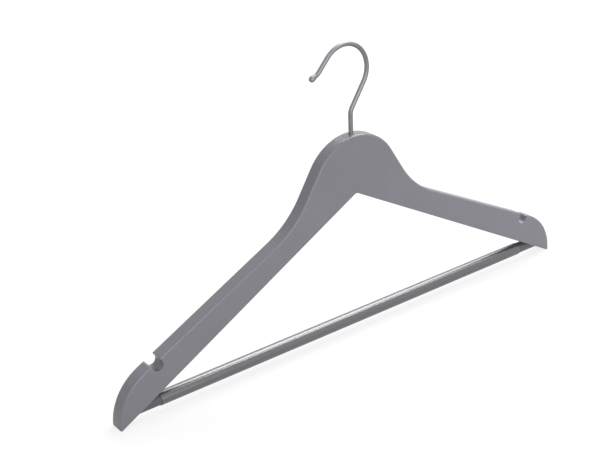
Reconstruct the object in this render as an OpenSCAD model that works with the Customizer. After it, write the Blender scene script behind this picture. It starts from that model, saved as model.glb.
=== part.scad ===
// Flat wooden trouser hanger with a swivelling wire hook.
// Two wooden halves meet in a finger joint at the neck. A dowel in a plastic sleeve joins the arm tips.
// Origin: the point inside the hook's crown, straight above the stem, where the rail carries the hanger.
// X runs along the hanger, Y through the board and Z up. Lengths are in millimetres.

/* [Board] */
// Width over both arm tips
body_w = 444; // [400:1:470]
// Thickness of the board
board_t = 12; // [11:0.5:16]
// Radius of the rounded neck
neck_r = 42; // [38:0.5:45]
// Steepness of the neck's flanks in degrees
flank_a = 58; // [54:0.5:62]
// Radius of the hollow between neck and arm
shoulder_r = 77; // [50:1:90]
// Fall of the arms' upper edges in degrees
arm_a = 27; // [24:0.5:29]
// Depth below the neck top at which the two upper edges would meet
arm_drop = 28; // [24:0.5:32]
// Radius of the rounded outer end of each arm
end_r = 44; // [38:1:50]
// Fall of the arms' undersides in degrees
under_a = 29; // [27:0.5:31]
// Depth of the neck from its top to the corner between the undersides
crotch_drop = 47; // [42:0.5:52]
// Radius in the corner between the undersides
crotch_r = 2.5; // [1:0.5:5]
// Radius of the lower corner of each arm tip
tip_r = 2; // [1:0.5:3]
// Rounding of the upper and outer edges
edge_r = 2; // [1:0.25:3]
// Bevel of the lower edges
under_bevel = 0.6; // [0.3:0.1:1.2]

/* [Strap notches] */
// Distance of each notch from the hanger's middle
notch_x = 188; // [170:0.5:190]
// Width of a notch
notch_w = 8.6; // [6:0.2:11]
// Depth of a notch, square to the upper edge
notch_depth = 8.4; // [6:0.2:11]
// Rounding of the notch's outer lip
lip_r = 2; // [1:0.25:3]
// Rounding of the notch's inner lip
inner_lip_r = 0.8; // [0.4:0.1:1.5]

/* [Finger joint] */
// Number of interlocking fingers in the neck
finger_n = 8; // [4:1:10]
// Length of the fingers
finger_len = 10; // [8:0.5:14]
// Thickness of the glue line
glue_gap = 0.1; // [0.05:0.05:0.2]

/* [Hook] */
// Diameter of the hook's wire
wire_d = 3.6; // [3:0.1:4.2]
// Radius of the crown's centre line
crown_r = 21.2; // [17:0.2:25]
// Shift of the crown's centre to the left of the stem
crown_shift = 4.7; // [3:0.1:7]
// Height of the crown's centre above the neck top
crown_rise = 50; // [46:0.5:58]
// Lean of the straight stretch between stem and crown, in degrees
lean_a = 33; // [28:0.5:38]
// Bend radius between the stem and the leaning stretch
stem_bend_r = 10; // [6:0.5:14]
// Slope of the straight stretch towards the tip, in degrees
fall_a = 48; // [42:0.5:54]
// Length of that stretch
fall_len = 12; // [8:0.5:16]
// Outward kick of the tip in degrees
kick_a = 23; // [10:1:35]
// Bend radius of the kick
kick_r = 8; // [5:0.5:12]
// Length over which the wire swells from the kick to the bulb's widest place
swell_len = 4.4; // [3:0.1:7]
// Diameter of the bulb at the tip
bulb_d = 4.8; // [4.4:0.1:6]

/* [Swivel] */
// Radial clearance of the stem in the neck
swivel_gap = 0.08; // [0.03:0.01:0.1]
// Diameter of the pocket under the neck
pocket_d = 8.4; // [8:0.1:9]
// Height of the pocket's roof above the corner between the undersides
pocket_depth = 9; // [7:0.5:12]
// Diameter of the washer
washer_d = 7.6; // [7.2:0.1:7.8]
// Thickness of the washer
washer_t = 0.8; // [0.5:0.1:1.2]
// Width of the nut across its flats
nut_af = 6; // [5.5:0.1:6.4]
// Height of the nut
nut_h = 3.2; // [2.4:0.1:4]
// Length of stem that stands out below the nut
stem_end = 0.8; // [0.4:0.1:1.5]
// Play between the washer and the pocket's roof
washer_play = 0.1; // [0.05:0.05:0.3]
// Gap between the stem and the pieces that are tight on it
thread_gap = 0.03; // [0.01:0.01:0.05]

/* [Trouser bar] */
// Diameter of the dowel
bar_d = 9.5; // [8:0.1:9.6]
// Height of the bar's axis above the arm tips' lowest point
bar_rise = 10; // [9:0.1:11]
// Wood left between the end of a socket and the arm's outer face
socket_wall = 9; // [6:0.5:12]
// Radial clearance of the dowel in its sockets
socket_gap = 0.05; // [0.02:0.01:0.1]
// Wall of the plastic sleeve
sleeve_wall = 0.5; // [0.4:0.1:1]
// Bare dowel between each end of the sleeve and the arm, along the top of the sleeve
bare_len = 6.5; // [3:0.5:20]
// Bevel at the dowel's ends
bar_bevel = 0.6; // [0.3:0.1:1]

/* [Brads] */
// Diameter of a brad
brad_d = 1.4; // [1:0.1:1.8]
// Depth of filler and paint over each end of a brad
brad_cover = 0.7; // [0.5:0.1:0.9]
// Distance of a brad from the dowel's end
brad_inset = 5; // [3:0.5:6]

/* [Hidden] */

// Fineness of round faces, of the board's outline and edges, and of the bent wire and its bulb
small_n = 48;
arc_step = 2.5;
edge_n = 6;
wire_step = 6;
wire_sides = 24;
bulb_n = 6;
bent_r = 0.998 * wire_d / 2;
// Overlap of cutting shapes past the faces that they cut
past = 1;

paint_grey = [0.52, 0.51, 0.54];
steel_grey = [0.45, 0.44, 0.46];
sleeve_grey = [0.42, 0.41, 0.45];

half_w = body_w / 2;

// Height of the neck top below the origin, which lies on the crown's inner face above the stem
crown_inner_r = crown_r - wire_d / 2;
crown_z = -sqrt(crown_inner_r ^ 2 - crown_shift ^ 2);
neck_z = crown_z - crown_rise;

// Points of the board's outline as [x, z] below the neck top, on the right half
function along(a) = [cos(a), -sin(a)];
function outward(a) = [sin(a), cos(a)];
function arm_line_z(x) = -arm_drop - x * tan(arm_a);
function under_line_z(x) = -crotch_drop - x * tan(under_a);

neck_c = [0, -neck_r];
flank_top = neck_c + neck_r * outward(flank_a);
flank_meets_arm = (flank_top[1] + flank_top[0] * tan(flank_a) + arm_drop) / (tan(flank_a) - tan(arm_a));
shoulder_corner = [flank_meets_arm, arm_line_z(flank_meets_arm)];
shoulder_tangent = shoulder_r * tan((flank_a - arm_a) / 2);
flank_end = shoulder_corner - shoulder_tangent * along(flank_a);
arm_start = shoulder_corner + shoulder_tangent * along(arm_a);
shoulder_c = flank_end + shoulder_r * outward(flank_a);
end_x = half_w - end_r;
end_c = [end_x, arm_line_z(end_x) - end_r / cos(arm_a)];
arm_end = end_c + end_r * outward(arm_a);

// How far the right half's neck runs past the middle before its fingers are cut, in degrees
neck_overlap_a = 20;

// Lower corner of the arm tip; its arc crosses the outer end's arc and doesn't only touch it
tip_overrun = 0.1;
tip_c_x = half_w + tip_overrun - tip_r;
tip_c = [tip_c_x, under_line_z(tip_c_x) + tip_r / cos(under_a)];
tip_z = neck_z + tip_c[1] - tip_r;

// Where the notch's middle line crosses the arm's upper edge
notch_top = [notch_x, arm_line_z(notch_x)];
// How far the lips' arcs stand over the upper edge, so that they cross it
lip_lift = 0.05;
// How far the arcs of the notch's floor and lips reach past its walls, so that they cross them
wall_tuck = 0.03;

finger_h = crotch_drop / finger_n;
bore_d = wire_d + 2 * swivel_gap;
pocket_roof_z = neck_z - crotch_drop + pocket_depth;
washer_z = pocket_roof_z - washer_play - washer_t;
nut_z = washer_z - nut_h;
stem_low_z = nut_z - stem_end;
tight_d = wire_d + 2 * thread_gap;

bar_z = tip_z + bar_rise;
socket_x = half_w - socket_wall;
socket_d = bar_d + 2 * socket_gap;
bar_len = 2 * (socket_x - socket_gap);
sleeve_d = socket_d + 2 * sleeve_wall;
sleeve_meets_arm = (neck_z - crotch_drop - bar_z - sleeve_d / 2) / tan(under_a);
sleeve_len = 2 * (sleeve_meets_arm - bare_len);
brad_len = board_t - 2 * brad_cover;
brad_x = bar_len / 2 - brad_inset;
brad_hole_d = brad_d + 2 * thread_gap;

// Centre line of the hook as [x, z], from the stem to the bulb
crown_c = [-crown_shift, crown_z];
lean_top = crown_c + crown_r * [cos(lean_a), -sin(lean_a)];
lean_corner = lean_top - lean_top[0] / sin(lean_a) * [sin(lean_a), cos(lean_a)];
stem_tangent = stem_bend_r * tan(lean_a / 2);
stem_top = lean_corner - [0, stem_tangent];
lean_low = lean_corner + stem_tangent * [sin(lean_a), cos(lean_a)];
fall_top = crown_c + crown_r * [-sin(fall_a), cos(fall_a)];
fall_low = fall_top - fall_len * [cos(fall_a), sin(fall_a)];
kick_c = fall_low + kick_r * [-sin(fall_a), cos(fall_a)];
tip_a = fall_a - kick_a;
kick_end = kick_c + kick_r * [sin(tip_a), -cos(tip_a)];
tip_along = -[cos(tip_a), sin(tip_a)];

// A drawing in X and Y as a plate that stands in the board's plane
module plate(thickness) {
    rotate([90, 0, 0])
        linear_extrude(thickness, center = true)
            children();
}

function arc_points(centre, r, a0, a1, step) =
    let (n = ceil(abs(a1 - a0) / step))
    [for (i = [0:n]) let (a = a0 + (a1 - a0) * i / n) centre + r * [cos(a), sin(a)]];

// Outline of the right half, drawn in by d, from left of the neck's middle to the outer end
function upper_outline(d) = concat(
    arc_points(neck_c, neck_r - d, 90 + neck_overlap_a, 90 - flank_a, arc_step),
    arc_points(shoulder_c, shoulder_r + d, 270 - flank_a, 270 - arm_a, arc_step),
    arc_points(end_c, end_r - d, 90 - arm_a, 0, arc_step));

// The same outline closed well below the underside
function closed_outline(d) = concat(
    [[-neck_r, 2 * tip_c[1]]], upper_outline(d), [[half_w - d, 2 * tip_c[1]]]);

// The rounded edge as [how far the outline is drawn in, distance from the front face]
edge_steps = [for (i = [0:edge_n]) let (a = 90 * i / edge_n) edge_r * [1 - sin(a), 1 - cos(a)]];

// Right half of the board before its underside, notch and holes are cut
module half_blank() {
    layers = concat(
        [for (e = edge_steps) [e[0], e[1] - board_t / 2]],
        [for (i = [edge_n:-1:0]) let (e = edge_steps[i]) [e[0], board_t / 2 - e[1]]]);
    rings = [for (l = layers) [for (q = closed_outline(l[0])) [q[0], l[1], q[1]]]];
    n = len(rings[0]);
    last = len(rings) - 1;
    sides = [for (k = [0:last - 1], i = [0:n - 1]) let (j = (i + 1) % n)
        [k * n + i, (k + 1) * n + i, (k + 1) * n + j, k * n + j]];
    polyhedron([for (ring = rings) each ring],
        concat([[for (i = [0:n - 1]) i]], sides, [[for (i = [n - 1:-1:0]) last * n + i]]));
}

// Everything below the undersides of both arms, with the rounded corners at the crotch and the tips
module under_region() {
    crotch_c = [0, -crotch_drop - crotch_r / cos(under_a)];
    crotch_tangent = crotch_c + crotch_r * outward(under_a);
    tip_tangent = tip_c - tip_r * outward(under_a);
    deep = 3 * tip_c[1];
    wide = 2 * body_w;
    translate(crotch_c)
        circle(r = crotch_r, $fn = small_n);
    for (side = [0, 1])
        mirror([side, 0])
            difference() {
                polygon([[0, deep], [0, crotch_tangent[1]], crotch_tangent, tip_tangent,
                         tip_c, [wide, tip_c[1]], [wide, deep]]);
                translate(tip_c)
                    circle(r = tip_r, $fn = small_n);
            }
}

// Bevels along the lower edges of both arms
module under_bevels() {
    side_w = under_bevel * sqrt(2);
    for (side = [0, 1], face = [-1, 1])
        mirror([side, 0, 0])
            translate([0, face * board_t / 2, -crotch_drop])
                rotate([0, 90 + under_a, 0])
                    linear_extrude(body_w)
                        rotate(45)
                            square(side_w, center = true);
}

// Slot with a round bottom, square to the arm's upper edge, and its rounded lips
module notch_region() {
    wall_x = notch_w / 2;
    floor_r = wall_x + wall_tuck;
    floor_y = floor_r - notch_depth;
    translate([0, floor_y])
        circle(r = floor_r, $fn = small_n);
    translate([-wall_x, floor_y])
        square([notch_w, past - floor_y]);
    for (side = [0, 1])
        mirror([side, 0])
            lip_relief(wall_x, side == 0 ? lip_r : inner_lip_r);
}

// Wood taken off the corner between a notch wall at x and the upper edge
module lip_relief(x, r) {
    lip_c = [x + r - wall_tuck, lip_lift - r];
    difference() {
        translate([x - past, lip_c[1]])
            square([lip_c[0] - x + past, r + past]);
        translate(lip_c)
            circle(r = r, $fn = small_n);
    }
}

// Space of the fingers that belong to the other half: the bands whose number has the other parity
module other_fingers(own_parity) {
    reach = finger_len / 2;
    tall = 2 * crotch_drop;
    translate([-body_w, -board_t, -tall])
        cube([body_w - reach + glue_gap / 2, 2 * board_t, 2 * tall]);
    for (k = [0:finger_n - 1])
        if (k % 2 != own_parity) {
            high = k == 0 ? tall : glue_gap / 2 - k * finger_h;
            low = k == finger_n - 1 ? -tall : -glue_gap / 2 - (k + 1) * finger_h;
            translate([-body_w, -board_t, low])
                cube([body_w + reach + glue_gap / 2, 2 * board_t, high - low]);
        }
}

// Right arm; the left one is its mirror image with the other set of fingers
module arm(own_parity) {
    difference() {
        translate([0, 0, neck_z])
            difference() {
                half_blank();
                plate(2 * board_t)
                    under_region();
                under_bevels();
                plate(2 * board_t)
                    translate(notch_top)
                        rotate(-arm_a)
                            notch_region();
                other_fingers(own_parity);
            }
        stem_hole();
        bar_hole(socket_d, socket_x);
        brad_hole();
    }
}

// Hole for the stem with the washer's pocket under it
module stem_hole() {
    translate([0, 0, neck_z - crotch_drop])
        cylinder(d = bore_d, h = crotch_drop + past, $fn = small_n);
    translate([0, 0, pocket_roof_z - 2 * pocket_depth])
        cylinder(d = pocket_d, h = 2 * pocket_depth, $fn = small_n);
}

// Round space along the bar's axis, from the middle out to x
module bar_hole(d, x) {
    translate([0, 0, bar_z])
        rotate([0, 90, 0])
            cylinder(d = d, h = x, $fn = small_n);
}

module brad_shape(d, length) {
    translate([brad_x, 0, bar_z])
        rotate([90, 0, 0])
            cylinder(d = d, h = length, center = true, $fn = small_n);
}

module brad_hole() {
    brad_shape(brad_hole_d, brad_len + 2 * thread_gap);
}

module right_arm() {
    color(paint_grey)
        arm(0);
}

module left_arm() {
    color(paint_grey)
        mirror([1, 0, 0])
            arm(1);
}

// Stations above the stem as [x, z, slope of the wire, radius], with the slope in degrees from straight up
function wire_arc(centre, r, a0, a1, turn) =
    let (n = ceil(abs(a1 - a0) / wire_step))
    [for (i = [0:n]) let (a = a0 + (a1 - a0) * i / n)
        [centre[0] + r * cos(a), centre[1] + r * sin(a), turn - a, bent_r]];

// Station past the kick, by its distance along the wire and its radius
function tip_station(past_kick, r) =
    let (q = kick_end + past_kick * tip_along)
    [q[0], q[1], 270 - tip_a, r];

bulb_r = bulb_d / 2;
wire_path = concat(
    [[0, stem_top[1] - wire_d, 0, bent_r]],
    wire_arc(stem_top + [stem_bend_r, 0], stem_bend_r, 180, 180 - lean_a, 180),
    wire_arc(crown_c, crown_r, -lean_a, 90 + fall_a, 0),
    wire_arc(kick_c, kick_r, fall_a - 90, tip_a - 90, 180),
    [for (i = [1:bulb_n]) let (t = i / bulb_n)
        tip_station(swell_len * t, bent_r + (bulb_r - bent_r) * (1 - cos(180 * t)) / 2)],
    [for (i = [1:bulb_n]) let (a = 86 * i / bulb_n)
        tip_station(swell_len + bulb_r * sin(a), bulb_r * cos(a))]);

// Ring of points round the wire at one station
function wire_ring(station) =
    [for (i = [0:wire_sides - 1]) let (a = 360 * i / wire_sides, r = station[3])
        [station[0] + r * cos(a) * cos(station[2]), r * sin(a), station[1] - r * cos(a) * sin(station[2])]];

// The bent part of the wire with its bulb, a hair thinner than the stem that it grows out of
module bent_wire() {
    rings = [for (station = wire_path) wire_ring(station)];
    n = wire_sides;
    last = len(rings) - 1;
    sides = [for (k = [0:last - 1], i = [0:n - 1]) let (j = (i + 1) % n)
        [k * n + i, (k + 1) * n + i, (k + 1) * n + j, k * n + j]];
    polyhedron([for (ring = rings) each ring],
        concat([[for (i = [0:n - 1]) i]], sides, [[for (i = [n - 1:-1:0]) last * n + i]]));
}

module hook() {
    color(steel_grey) {
        translate([0, 0, stem_low_z])
            cylinder(d = wire_d, h = stem_top[1] - stem_low_z, $fn = small_n);
        bent_wire();
    }
}

module hook_washer() {
    color(steel_grey)
        translate([0, 0, washer_z])
            difference() {
                cylinder(d = washer_d, h = washer_t, $fn = small_n);
                translate([0, 0, -past])
                    cylinder(d = tight_d, h = washer_t + 2 * past, $fn = small_n);
            }
}

module hook_nut() {
    color(steel_grey)
        translate([0, 0, nut_z])
            difference() {
                cylinder(d = nut_af / cos(30), h = nut_h, $fn = 6);
                translate([0, 0, -past])
                    cylinder(d = tight_d, h = nut_h + 2 * past, $fn = small_n);
            }
}

// Half of the dowel, with its bevelled end and the brad's hole
module half_dowel() {
    translate([0, 0, bar_z])
        rotate([0, 90, 0]) {
            cylinder(d = bar_d, h = bar_len / 2 - bar_bevel, $fn = small_n);
            translate([0, 0, bar_len / 2 - bar_bevel])
                cylinder(d1 = bar_d, d2 = bar_d - 2 * bar_bevel, h = bar_bevel, $fn = small_n);
        }
}

module trouser_bar() {
    color(paint_grey)
        for (side = [0, 1])
            mirror([side, 0, 0])
                difference() {
                    half_dowel();
                    brad_hole();
                }
}

module bar_sleeve() {
    color(sleeve_grey)
        translate([0, 0, bar_z])
            rotate([0, 90, 0])
                difference() {
                    cylinder(d = sleeve_d, h = sleeve_len, center = true, $fn = small_n);
                    cylinder(d = socket_d, h = sleeve_len + 2 * past, center = true, $fn = small_n);
                }
}

module right_brad() {
    color(steel_grey)
        brad_shape(brad_d, brad_len);
}

module left_brad() {
    color(steel_grey)
        mirror([1, 0, 0])
            brad_shape(brad_d, brad_len);
}

left_arm();
right_arm();
hook();
hook_washer();
hook_nut();
trouser_bar();
bar_sleeve();
left_brad();
right_brad();
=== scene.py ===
# Looks of the trouser hanger: lacquered wood, plastic sleeve and plated wire on a white studio floor.
import math

import bmesh
import bpy
from mathutils import Matrix, Vector


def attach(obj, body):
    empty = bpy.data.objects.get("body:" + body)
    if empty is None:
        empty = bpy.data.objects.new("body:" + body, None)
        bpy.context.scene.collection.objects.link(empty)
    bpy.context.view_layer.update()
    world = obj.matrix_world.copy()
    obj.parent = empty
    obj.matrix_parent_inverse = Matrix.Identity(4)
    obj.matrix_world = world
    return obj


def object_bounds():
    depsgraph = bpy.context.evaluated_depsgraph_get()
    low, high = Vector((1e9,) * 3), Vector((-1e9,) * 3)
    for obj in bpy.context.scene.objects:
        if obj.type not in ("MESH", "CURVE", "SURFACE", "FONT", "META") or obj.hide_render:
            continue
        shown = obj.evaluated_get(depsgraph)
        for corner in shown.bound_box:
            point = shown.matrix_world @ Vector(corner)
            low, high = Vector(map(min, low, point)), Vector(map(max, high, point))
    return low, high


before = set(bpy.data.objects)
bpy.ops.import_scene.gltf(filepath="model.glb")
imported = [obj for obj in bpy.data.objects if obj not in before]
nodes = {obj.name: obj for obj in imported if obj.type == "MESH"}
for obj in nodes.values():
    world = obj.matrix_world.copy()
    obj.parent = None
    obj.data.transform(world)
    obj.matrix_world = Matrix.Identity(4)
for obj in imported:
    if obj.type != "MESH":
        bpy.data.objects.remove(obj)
cad_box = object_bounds()

# Camera: place in metres and angles in degrees, found from the hanger's own outline
CAMERA_PLACE = (-0.5441, -0.6780, 0.2700)
CAMERA_AZIMUTH = -36.02
CAMERA_ELEVATION = 25.46
CAMERA_ROLL = -2.40
CAMERA_LENS = 73.7
CAMERA_SENSOR = 36.0

# Softboxes: place, the point they face, width and height in metres, and watts
FRONT_BOX = ((-0.5, -2.2, 0.4), (0.0, 0.0, -0.12), 2.4, 1.8, 22.0)
OVERHEAD_BOX = ((1.08, 0.50, 1.25), (1.08, 0.50, -0.2), 1.4, 1.8, 34.0)
WORLD_STRENGTH = 0.29

# White floor: half of its side, its own colour, and the share of plain white in how it is seen
FLOOR_HALF = 12.0
FLOOR_WHITE = 0.86
SEEN_WHITE_SHARE = 0.70
# Level of that plain white near the hanger and far away, and the distances between which it changes
SEEN_WHITE = 1.16
SEEN_WHITE_FAR = 1.50
NEAR_END = 1.0
FAR_START = 2.4
# Levels at which the floor and the world show in reflections
FLOOR_MIRRORED = 0.57
WORLD_MIRRORED = 0.75

# Slope of the wood's grain in the two arms, in degrees
GRAIN_SLOPE = 28.0
# Half-width over which the mirrored patterns of the two sides blend into each other at the middle
MIDDLE_BLEND = 0.006

# Colours of the pieces; wood has two, for its darker and lighter clouds
LACQUER = (0.249, 0.244, 0.279)
LACQUER_LIGHT = (0.260, 0.255, 0.290)
# The bar's paint is the arms' grey darkened to about half: painted shade, standing for the shadow the other
# hangers cast on the bar's bare ends
BAR_PAINT_SHADED = (0.120, 0.117, 0.130)
BAR_PAINT_SHADED_CLOUD = (0.130, 0.127, 0.140)
SLEEVE = (0.090, 0.087, 0.106)
WIRE = (0.350, 0.344, 0.371)
ZINC = (0.52, 0.52, 0.53)
# Darker patches of the sleeve and of the plating, as a share of their colour
SLEEVE_DARKER = 0.92
PLATING_DARKER = 0.90

# Roughness of each finish, lowest and highest, and of the clear coats
LACQUER_ROUGHNESS = (0.42, 0.50)
LACQUER_COAT_ROUGHNESS = 0.20
SLEEVE_ROUGHNESS = (0.34, 0.42)
SLEEVE_COAT_ROUGHNESS = 0.24
HOOK_ROUGHNESS = (0.42, 0.52)
ZINC_ROUGHNESS = (0.28, 0.38)

# Strength of the reflections, where it isn't the shader's own
PLAIN_IOR = 1.5
LACQUER_SPECULAR = 0.25
SLEEVE_COAT_IOR = 2.1

# How fine the patterns are, per metre
STREAKS = 900.0
CLOUDS = 22.0
RIPPLE = 420.0
DRAWN_LINES = 1500.0
SLEEVE_WAVES = 60.0
PATCHES = 260.0
PLATING_GRAIN = 2400.0
# How much of that is left along the grain, or along the sleeve
ALONG_GRAIN = 0.05
ALONG_LINES = 0.006
ALONG_WAVES = 0.25

# Depths of the fine relief in metres
PORE_DEPTH = 0.000010
RIPPLE_DEPTH = 0.000014
LINE_DEPTH = 0.0000004
PLATING_DEPTH = 0.000004

# The board round its finger joint: the neck's arc, the corner under it, the edges and the undersides
NECK_R = 0.042
NECK_TOP = -0.06882
CROTCH = -0.11582
BOARD_HALF_T = 0.006
EDGE_R = 0.002
UNDER_ANGLE = math.radians(29.0)
# The lacquer over that joint: half its width, the bare rim at its foot, and how far it stands out and in
FILM_HALF_W = 0.0078
FILM_BARE = 0.0013
FILM_OUT = 0.00002
FILM_IN = 0.00010
FILM_COLUMNS = 16
FILM_ROUND_STEPS = 8
# Hole for the hook's stem through that lacquer
STEM_HOLE_R = 0.00188
STEM_HOLE_SIDES = 48
STEM_HOLE_DEPTH = 0.01

# Smooth shading stops at edges sharper than this, in degrees
SMOOTH_ANGLE = 32.0


def new_material(name):
    """An empty node material with its output and the node tree's two lists."""
    material = bpy.data.materials.new(name)
    material.use_nodes = True
    tree = material.node_tree
    tree.nodes.clear()
    output = tree.nodes.new("ShaderNodeOutputMaterial")
    return material, tree.nodes, tree.links, output


def math_node(made, links, operation, first, second):
    """A math node on two values, each of which is a socket or a number."""
    node = made.new("ShaderNodeMath")
    node.operation = operation
    for socket, value in zip(node.inputs, (first, second)):
        if isinstance(value, float):
            socket.default_value = value
        else:
            links.new(value, socket)
    return node.outputs["Value"]


def pattern_place(made, links, scale=(1.0, 1.0, 1.0), slope=0.0):
    """Coordinates in metres, alike on both sides of the middle, turned by a slope and scaled per axis."""
    coords = made.new("ShaderNodeTexCoord")
    apart = made.new("ShaderNodeSeparateXYZ")
    links.new(coords.outputs["Object"], apart.inputs["Vector"])
    squared = math_node(made, links, "MULTIPLY", apart.outputs["X"], apart.outputs["X"])
    rounded = math_node(made, links, "ADD", squared, MIDDLE_BLEND ** 2)
    together = made.new("ShaderNodeCombineXYZ")
    links.new(math_node(made, links, "POWER", rounded, 0.5), together.inputs["X"])
    links.new(apart.outputs["Y"], together.inputs["Y"])
    links.new(apart.outputs["Z"], together.inputs["Z"])
    turn = made.new("ShaderNodeMapping")
    turn.inputs["Rotation"].default_value = (0.0, -math.radians(slope), 0.0)
    stretch = made.new("ShaderNodeMapping")
    stretch.inputs["Scale"].default_value = scale
    links.new(together.outputs["Vector"], turn.inputs["Vector"])
    links.new(turn.outputs["Vector"], stretch.inputs["Vector"])
    return stretch.outputs["Vector"]


def noise(made, links, place, scale, detail, rough):
    texture = made.new("ShaderNodeTexNoise")
    texture.inputs["Scale"].default_value = scale
    texture.inputs["Detail"].default_value = detail
    texture.inputs["Roughness"].default_value = rough
    links.new(place, texture.inputs["Vector"])
    return texture.outputs["Fac"]


def spread(made, links, value, low, high, to_low=0.0, to_high=1.0):
    """Maps the part of value between low and high onto a new range."""
    ranger = made.new("ShaderNodeMapRange")
    ranger.inputs["From Min"].default_value = low
    ranger.inputs["From Max"].default_value = high
    ranger.inputs["To Min"].default_value = to_low
    ranger.inputs["To Max"].default_value = to_high
    links.new(value, ranger.inputs["Value"])
    return ranger.outputs["Result"]


def tinted(made, links, pattern, first, second):
    """A colour that goes from the first to the second over the middle of a pattern."""
    mixer = made.new("ShaderNodeMix")
    mixer.data_type = "RGBA"
    mixer.inputs["A"].default_value = (*first, 1.0)
    mixer.inputs["B"].default_value = (*second, 1.0)
    links.new(spread(made, links, pattern, 0.35, 0.65), mixer.inputs["Factor"])
    return mixer.outputs["Result"]


def bumped(made, links, height, depth, normal=None):
    bump = made.new("ShaderNodeBump")
    bump.inputs["Strength"].default_value = 1.0
    bump.inputs["Distance"].default_value = depth
    links.new(height, bump.inputs["Height"])
    if normal is not None:
        links.new(normal, bump.inputs["Normal"])
    return bump.outputs["Normal"]


def finish(made, links, output, shader, colour, gloss_pattern, roughness, normal):
    """Joins colour, uneven roughness and relief to a shader, and the shader to the output."""
    links.new(colour, shader.inputs["Base Color"])
    links.new(spread(made, links, gloss_pattern, 0.3, 0.7, *roughness), shader.inputs["Roughness"])
    links.new(normal, shader.inputs["Normal"])
    links.new(shader.outputs["BSDF"], output.inputs["Surface"])


def lacquered_wood(name, slope, colour, lighter):
    """Satin paint over fine-grained wood: streaks along the grain and the paint's own soft ripple."""
    material, made, links, output = new_material(name)
    shader = made.new("ShaderNodeBsdfPrincipled")
    shader.inputs["IOR"].default_value = PLAIN_IOR
    shader.inputs["Specular IOR Level"].default_value = LACQUER_SPECULAR
    shader.inputs["Coat Weight"].default_value = 1.0
    shader.inputs["Coat IOR"].default_value = PLAIN_IOR
    shader.inputs["Coat Roughness"].default_value = LACQUER_COAT_ROUGHNESS
    along_grain = pattern_place(made, links, (ALONG_GRAIN, 1.0, 1.0), slope)
    streaks = noise(made, links, along_grain, STREAKS, 3.0, 0.6)
    clouds = noise(made, links, pattern_place(made, links), CLOUDS, 2.0, 0.5)
    ripple = noise(made, links, pattern_place(made, links), RIPPLE, 2.0, 0.5)
    pores = spread(made, links, streaks, 0.30, 0.45)
    relief = bumped(made, links, ripple, RIPPLE_DEPTH, bumped(made, links, pores, PORE_DEPTH))
    colours = tinted(made, links, clouds, colour, lighter)
    finish(made, links, output, shader, colours, streaks, LACQUER_ROUGHNESS, relief)
    return material


def sleeve_plastic():
    """Glossy extruded tube with faint drawing lines along its length."""
    material, made, links, output = new_material("sleeve_plastic_look")
    shader = made.new("ShaderNodeBsdfPrincipled")
    shader.inputs["IOR"].default_value = PLAIN_IOR
    shader.inputs["Coat Weight"].default_value = 1.0
    shader.inputs["Coat IOR"].default_value = SLEEVE_COAT_IOR
    shader.inputs["Coat Roughness"].default_value = SLEEVE_COAT_ROUGHNESS
    lines = noise(made, links, pattern_place(made, links, (ALONG_LINES, 1.0, 1.0)), DRAWN_LINES, 2.0, 0.5)
    waves = noise(made, links, pattern_place(made, links, (ALONG_WAVES, 1.0, 1.0)), SLEEVE_WAVES, 2.0, 0.5)
    colours = tinted(made, links, waves, tuple(SLEEVE_DARKER * c for c in SLEEVE), SLEEVE)
    relief = bumped(made, links, lines, LINE_DEPTH)
    finish(made, links, output, shader, colours, waves, SLEEVE_ROUGHNESS, relief)
    return material


def plated_wire(name, colour, roughness):
    """Satin plating over drawn wire, with fine draw marks and slightly uneven gloss."""
    material, made, links, output = new_material(name)
    shader = made.new("ShaderNodeBsdfPrincipled")
    shader.inputs["Metallic"].default_value = 1.0
    patches = noise(made, links, pattern_place(made, links), PATCHES, 3.0, 0.6)
    grain = noise(made, links, pattern_place(made, links), PLATING_GRAIN, 1.0, 0.5)
    colours = tinted(made, links, patches, tuple(PLATING_DARKER * c for c in colour), colour)
    relief = bumped(made, links, grain, PLATING_DEPTH)
    finish(made, links, output, shader, colours, patches, roughness, relief)
    return material


def dress(node, material):
    piece = nodes[node]
    piece.data.materials.clear()
    piece.data.materials.append(material)


def soften(piece):
    """Smooth shading up to an angle, with normals that follow the larger faces."""
    with bpy.context.temp_override(object=piece, active_object=piece, selected_objects=[piece],
                                   selected_editable_objects=[piece]):
        bpy.ops.object.shade_smooth_by_angle(angle=math.radians(SMOOTH_ANGLE))
    weighted = piece.modifiers.new("follow_large_faces", "WEIGHTED_NORMAL")
    weighted.keep_sharp = True


arm_lacquer = lacquered_wood("arm_lacquer", GRAIN_SLOPE, LACQUER, LACQUER_LIGHT)
# Painted shade: the bar gets that darker grey, for the shadow on its bare ends
bar_paint_shaded = lacquered_wood("bar_paint_shaded", 0.0, BAR_PAINT_SHADED, BAR_PAINT_SHADED_CLOUD)
for name, material, record_slot in (
    ("left_arm", arm_lacquer, "painted_wood"),
    ("right_arm", arm_lacquer, "painted_wood"),
    ("trouser_bar", bar_paint_shaded, "bar_wood"),
    ("bar_sleeve", sleeve_plastic(), "sleeve_plastic"),
    ("hook", plated_wire("hook_plating", WIRE, HOOK_ROUGHNESS), "hook_steel"),
    ("hook_washer", plated_wire("washer_zinc", ZINC, ZINC_ROUGHNESS), "hidden_steel"),
    ("hook_nut", plated_wire("nut_zinc", ZINC, ZINC_ROUGHNESS), "hidden_steel"),
    ("left_brad", plated_wire("left_brad_zinc", ZINC, ZINC_ROUGHNESS), "hidden_steel"),
    ("right_brad", plated_wire("right_brad_zinc", ZINC, ZINC_ROUGHNESS), "hidden_steel"),
):
    dress(name, material)
    soften(nodes[name])


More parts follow.
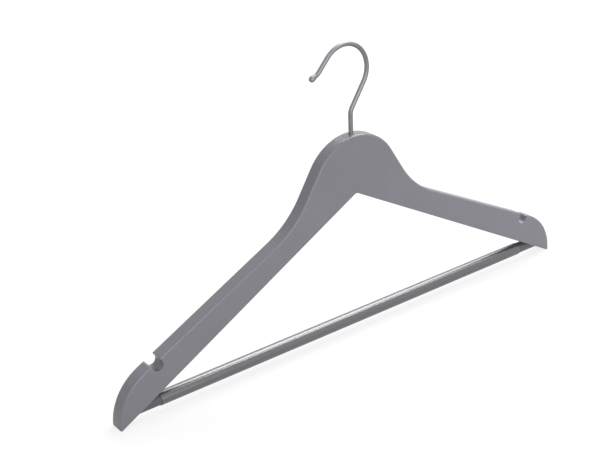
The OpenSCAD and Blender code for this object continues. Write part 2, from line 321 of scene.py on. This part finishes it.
def film_column(i, proud):
    """One column of points of the film, from the front's foot over the neck to the back's foot."""
    share = 2.0 * i / FILM_COLUMNS - 1.0
    a = math.asin(FILM_HALF_W / NECK_R) * share
    foot_x = FILM_HALF_W * share
    foot_z = CROTCH + FILM_BARE - abs(foot_x) * math.tan(UNDER_ANGLE)
    front = [(foot_x, -BOARD_HALF_T - proud, foot_z)]
    for k in range(FILM_ROUND_STEPS + 1):
        b = 0.5 * math.pi * k / FILM_ROUND_STEPS
        r = NECK_R - EDGE_R + (EDGE_R + proud) * math.sin(b)
        y = BOARD_HALF_T - EDGE_R + (EDGE_R + proud) * math.cos(b)
        front.append((r * math.sin(a), -y, NECK_TOP - NECK_R + r * math.cos(a)))
    back = [(x, -y, z) for x, y, z in reversed(front)]
    return front + back


def joint_film():
    """The lacquer that runs across the finger joint in the neck, front, over the top and back."""
    outer = [film_column(i, FILM_OUT) for i in range(FILM_COLUMNS + 1)]
    inner = [film_column(i, -FILM_IN) for i in range(FILM_COLUMNS + 1)]
    rows = len(outer[0])
    verts = [point for column in outer + inner for point in column]
    shift = (FILM_COLUMNS + 1) * rows
    faces = []
    for i in range(FILM_COLUMNS):
        for k in range(rows - 1):
            a, b = i * rows + k, (i + 1) * rows + k
            faces.append((a, b, b + 1, a + 1))
            faces.append((a + shift, a + 1 + shift, b + 1 + shift, b + shift))
        a, b = i * rows, (i + 1) * rows
        faces.append((a, a + shift, b + shift, b))
        a, b = a + rows - 1, b + rows - 1
        faces.append((a, b, b + shift, a + shift))
    for k in range(rows - 1):
        faces.append((k, k + 1, k + 1 + shift, k + shift))
    for k in range(rows - 1):
        a = FILM_COLUMNS * rows + k
        faces.append((a, a + shift, a + 1 + shift, a + 1))
    mesh = bpy.data.meshes.new("joint_lacquer")
    mesh.from_pydata(verts, [], faces)
    mesh.materials.append(arm_lacquer)
    film = bpy.data.objects.new("joint_lacquer", mesh)
    bpy.context.scene.collection.objects.link(film)
    cut_stem_hole(film)
    soften(film)
    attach(film, "hanger_frame")


def cut_stem_hole(film):
    """Opens the film where the hook's stem goes through it."""
    drill_mesh = bpy.data.meshes.new("drill")
    build = bmesh.new()
    bmesh.ops.create_cone(build, cap_ends=True, segments=STEM_HOLE_SIDES, radius1=STEM_HOLE_R,
                          radius2=STEM_HOLE_R, depth=STEM_HOLE_DEPTH,
                          matrix=Matrix.Translation((0.0, 0.0, NECK_TOP)))
    build.to_mesh(drill_mesh)
    build.free()
    drill = bpy.data.objects.new("drill", drill_mesh)
    bpy.context.scene.collection.objects.link(drill)
    cut = film.modifiers.new("stem_hole", "BOOLEAN")
    cut.operation = "DIFFERENCE"
    cut.solver = "EXACT"
    cut.object = drill
    bpy.context.view_layer.update()
    cut_film = film.evaluated_get(bpy.context.evaluated_depsgraph_get())
    result = bpy.data.meshes.new_from_object(cut_film)
    film.modifiers.clear()
    old = film.data
    film.data = result
    bpy.data.objects.remove(drill)
    bpy.data.meshes.remove(old)
    result.name = "joint_lacquer"


joint_film()


def plain_white(made, links, seen_white, mirrored_white):
    """How much a surface shines in plain white, by how it is seen, and 1 where that replaces its look."""
    path = made.new("ShaderNodeLightPath")
    seen = math_node(made, links, "MULTIPLY", path.outputs["Is Camera Ray"], seen_white)
    mirrored = math_node(made, links, "MULTIPLY", path.outputs["Is Glossy Ray"], mirrored_white)
    strength = math_node(made, links, "MAXIMUM", seen, mirrored)
    either = math_node(made, links, "MAXIMUM", path.outputs["Is Camera Ray"], path.outputs["Is Glossy Ray"])
    return strength, either


def make_floor():
    """A wide white floor at the arm tips' lowest point; seen directly it is mostly plain white."""
    level = cad_box[0].z
    corners = [(x * FLOOR_HALF, y * FLOOR_HALF, level) for x, y in ((-1, -1), (1, -1), (1, 1), (-1, 1))]
    mesh = bpy.data.meshes.new("floor")
    mesh.from_pydata(corners, [], [(0, 1, 2, 3)])
    floor = bpy.data.objects.new("floor", mesh)
    bpy.context.scene.collection.objects.link(floor)
    material, made, links, output = new_material("floor_white")
    diffuse = made.new("ShaderNodeBsdfDiffuse")
    diffuse.inputs["Color"].default_value = (FLOOR_WHITE, FLOOR_WHITE, FLOOR_WHITE, 1.0)
    plain = made.new("ShaderNodeEmission")
    plain.inputs["Color"].default_value = (1.0, 1.0, 1.0, 1.0)
    coords = made.new("ShaderNodeTexCoord")
    away = made.new("ShaderNodeVectorMath")
    away.operation = "LENGTH"
    links.new(coords.outputs["Object"], away.inputs[0])
    seen_white = spread(made, links, away.outputs["Value"], NEAR_END, FAR_START, SEEN_WHITE, SEEN_WHITE_FAR)
    strength, replaces = plain_white(made, links, seen_white, FLOOR_MIRRORED)
    links.new(strength, plain.inputs["Strength"])
    mixer = made.new("ShaderNodeMixShader")
    links.new(math_node(made, links, "MULTIPLY", replaces, SEEN_WHITE_SHARE), mixer.inputs["Fac"])
    links.new(diffuse.outputs["BSDF"], mixer.inputs[1])
    links.new(plain.outputs["Emission"], mixer.inputs[2])
    links.new(mixer.outputs["Shader"], output.inputs["Surface"])
    mesh.materials.append(material)


def make_world():
    """Even pale light, which shows as plain white where it is seen directly."""
    world = bpy.data.worlds.new("studio")
    bpy.context.scene.world = world
    world.use_nodes = True
    made, links = world.node_tree.nodes, world.node_tree.links
    made.clear()
    output = made.new("ShaderNodeOutputWorld")
    lit = made.new("ShaderNodeBackground")
    lit.inputs["Color"].default_value = (1.0, 1.0, 1.0, 1.0)
    lit.inputs["Strength"].default_value = WORLD_STRENGTH
    plain = made.new("ShaderNodeBackground")
    plain.inputs["Color"].default_value = (1.0, 1.0, 1.0, 1.0)
    shine, replaces = plain_white(made, links, 1.0, WORLD_MIRRORED)
    links.new(shine, plain.inputs["Strength"])
    mixer = made.new("ShaderNodeMixShader")
    links.new(replaces, mixer.inputs["Fac"])
    links.new(lit.outputs["Background"], mixer.inputs[1])
    links.new(plain.outputs["Background"], mixer.inputs[2])
    links.new(mixer.outputs["Shader"], output.inputs["Surface"])


def softbox(name, place, target, width, height, watts):
    light = bpy.data.lights.new(name, "AREA")
    light.shape = "RECTANGLE"
    light.size = width
    light.size_y = height
    light.energy = watts
    lamp = bpy.data.objects.new(name, light)
    lamp.location = place
    lamp.rotation_mode = "QUATERNION"
    lamp.rotation_quaternion = (Vector(target) - Vector(place)).to_track_quat("-Z", "Y")
    bpy.context.scene.collection.objects.link(lamp)


def make_camera():
    a, e, r = (math.radians(v) for v in (CAMERA_AZIMUTH, CAMERA_ELEVATION, CAMERA_ROLL))
    back = Vector((math.sin(a) * math.cos(e), -math.cos(a) * math.cos(e), math.sin(e)))
    level_right = Vector((0.0, 0.0, 1.0)).cross(back).normalized()
    level_up = back.cross(level_right)
    right = level_right * math.cos(r) + level_up * math.sin(r)
    up = level_up * math.cos(r) - level_right * math.sin(r)
    data = bpy.data.cameras.new("camera")
    data.sensor_width = CAMERA_SENSOR
    data.lens = CAMERA_LENS
    camera = bpy.data.objects.new("camera", data)
    axes = Matrix((right, up, back)).transposed()
    camera.matrix_world = Matrix.Translation(CAMERA_PLACE) @ axes.to_4x4()
    bpy.context.scene.collection.objects.link(camera)
    bpy.context.scene.camera = camera


make_floor()
make_world()
softbox("front_box", *FRONT_BOX)
softbox("overhead_box", *OVERHEAD_BOX)
make_camera()

bpy.context.scene.view_settings.view_transform = "Standard"
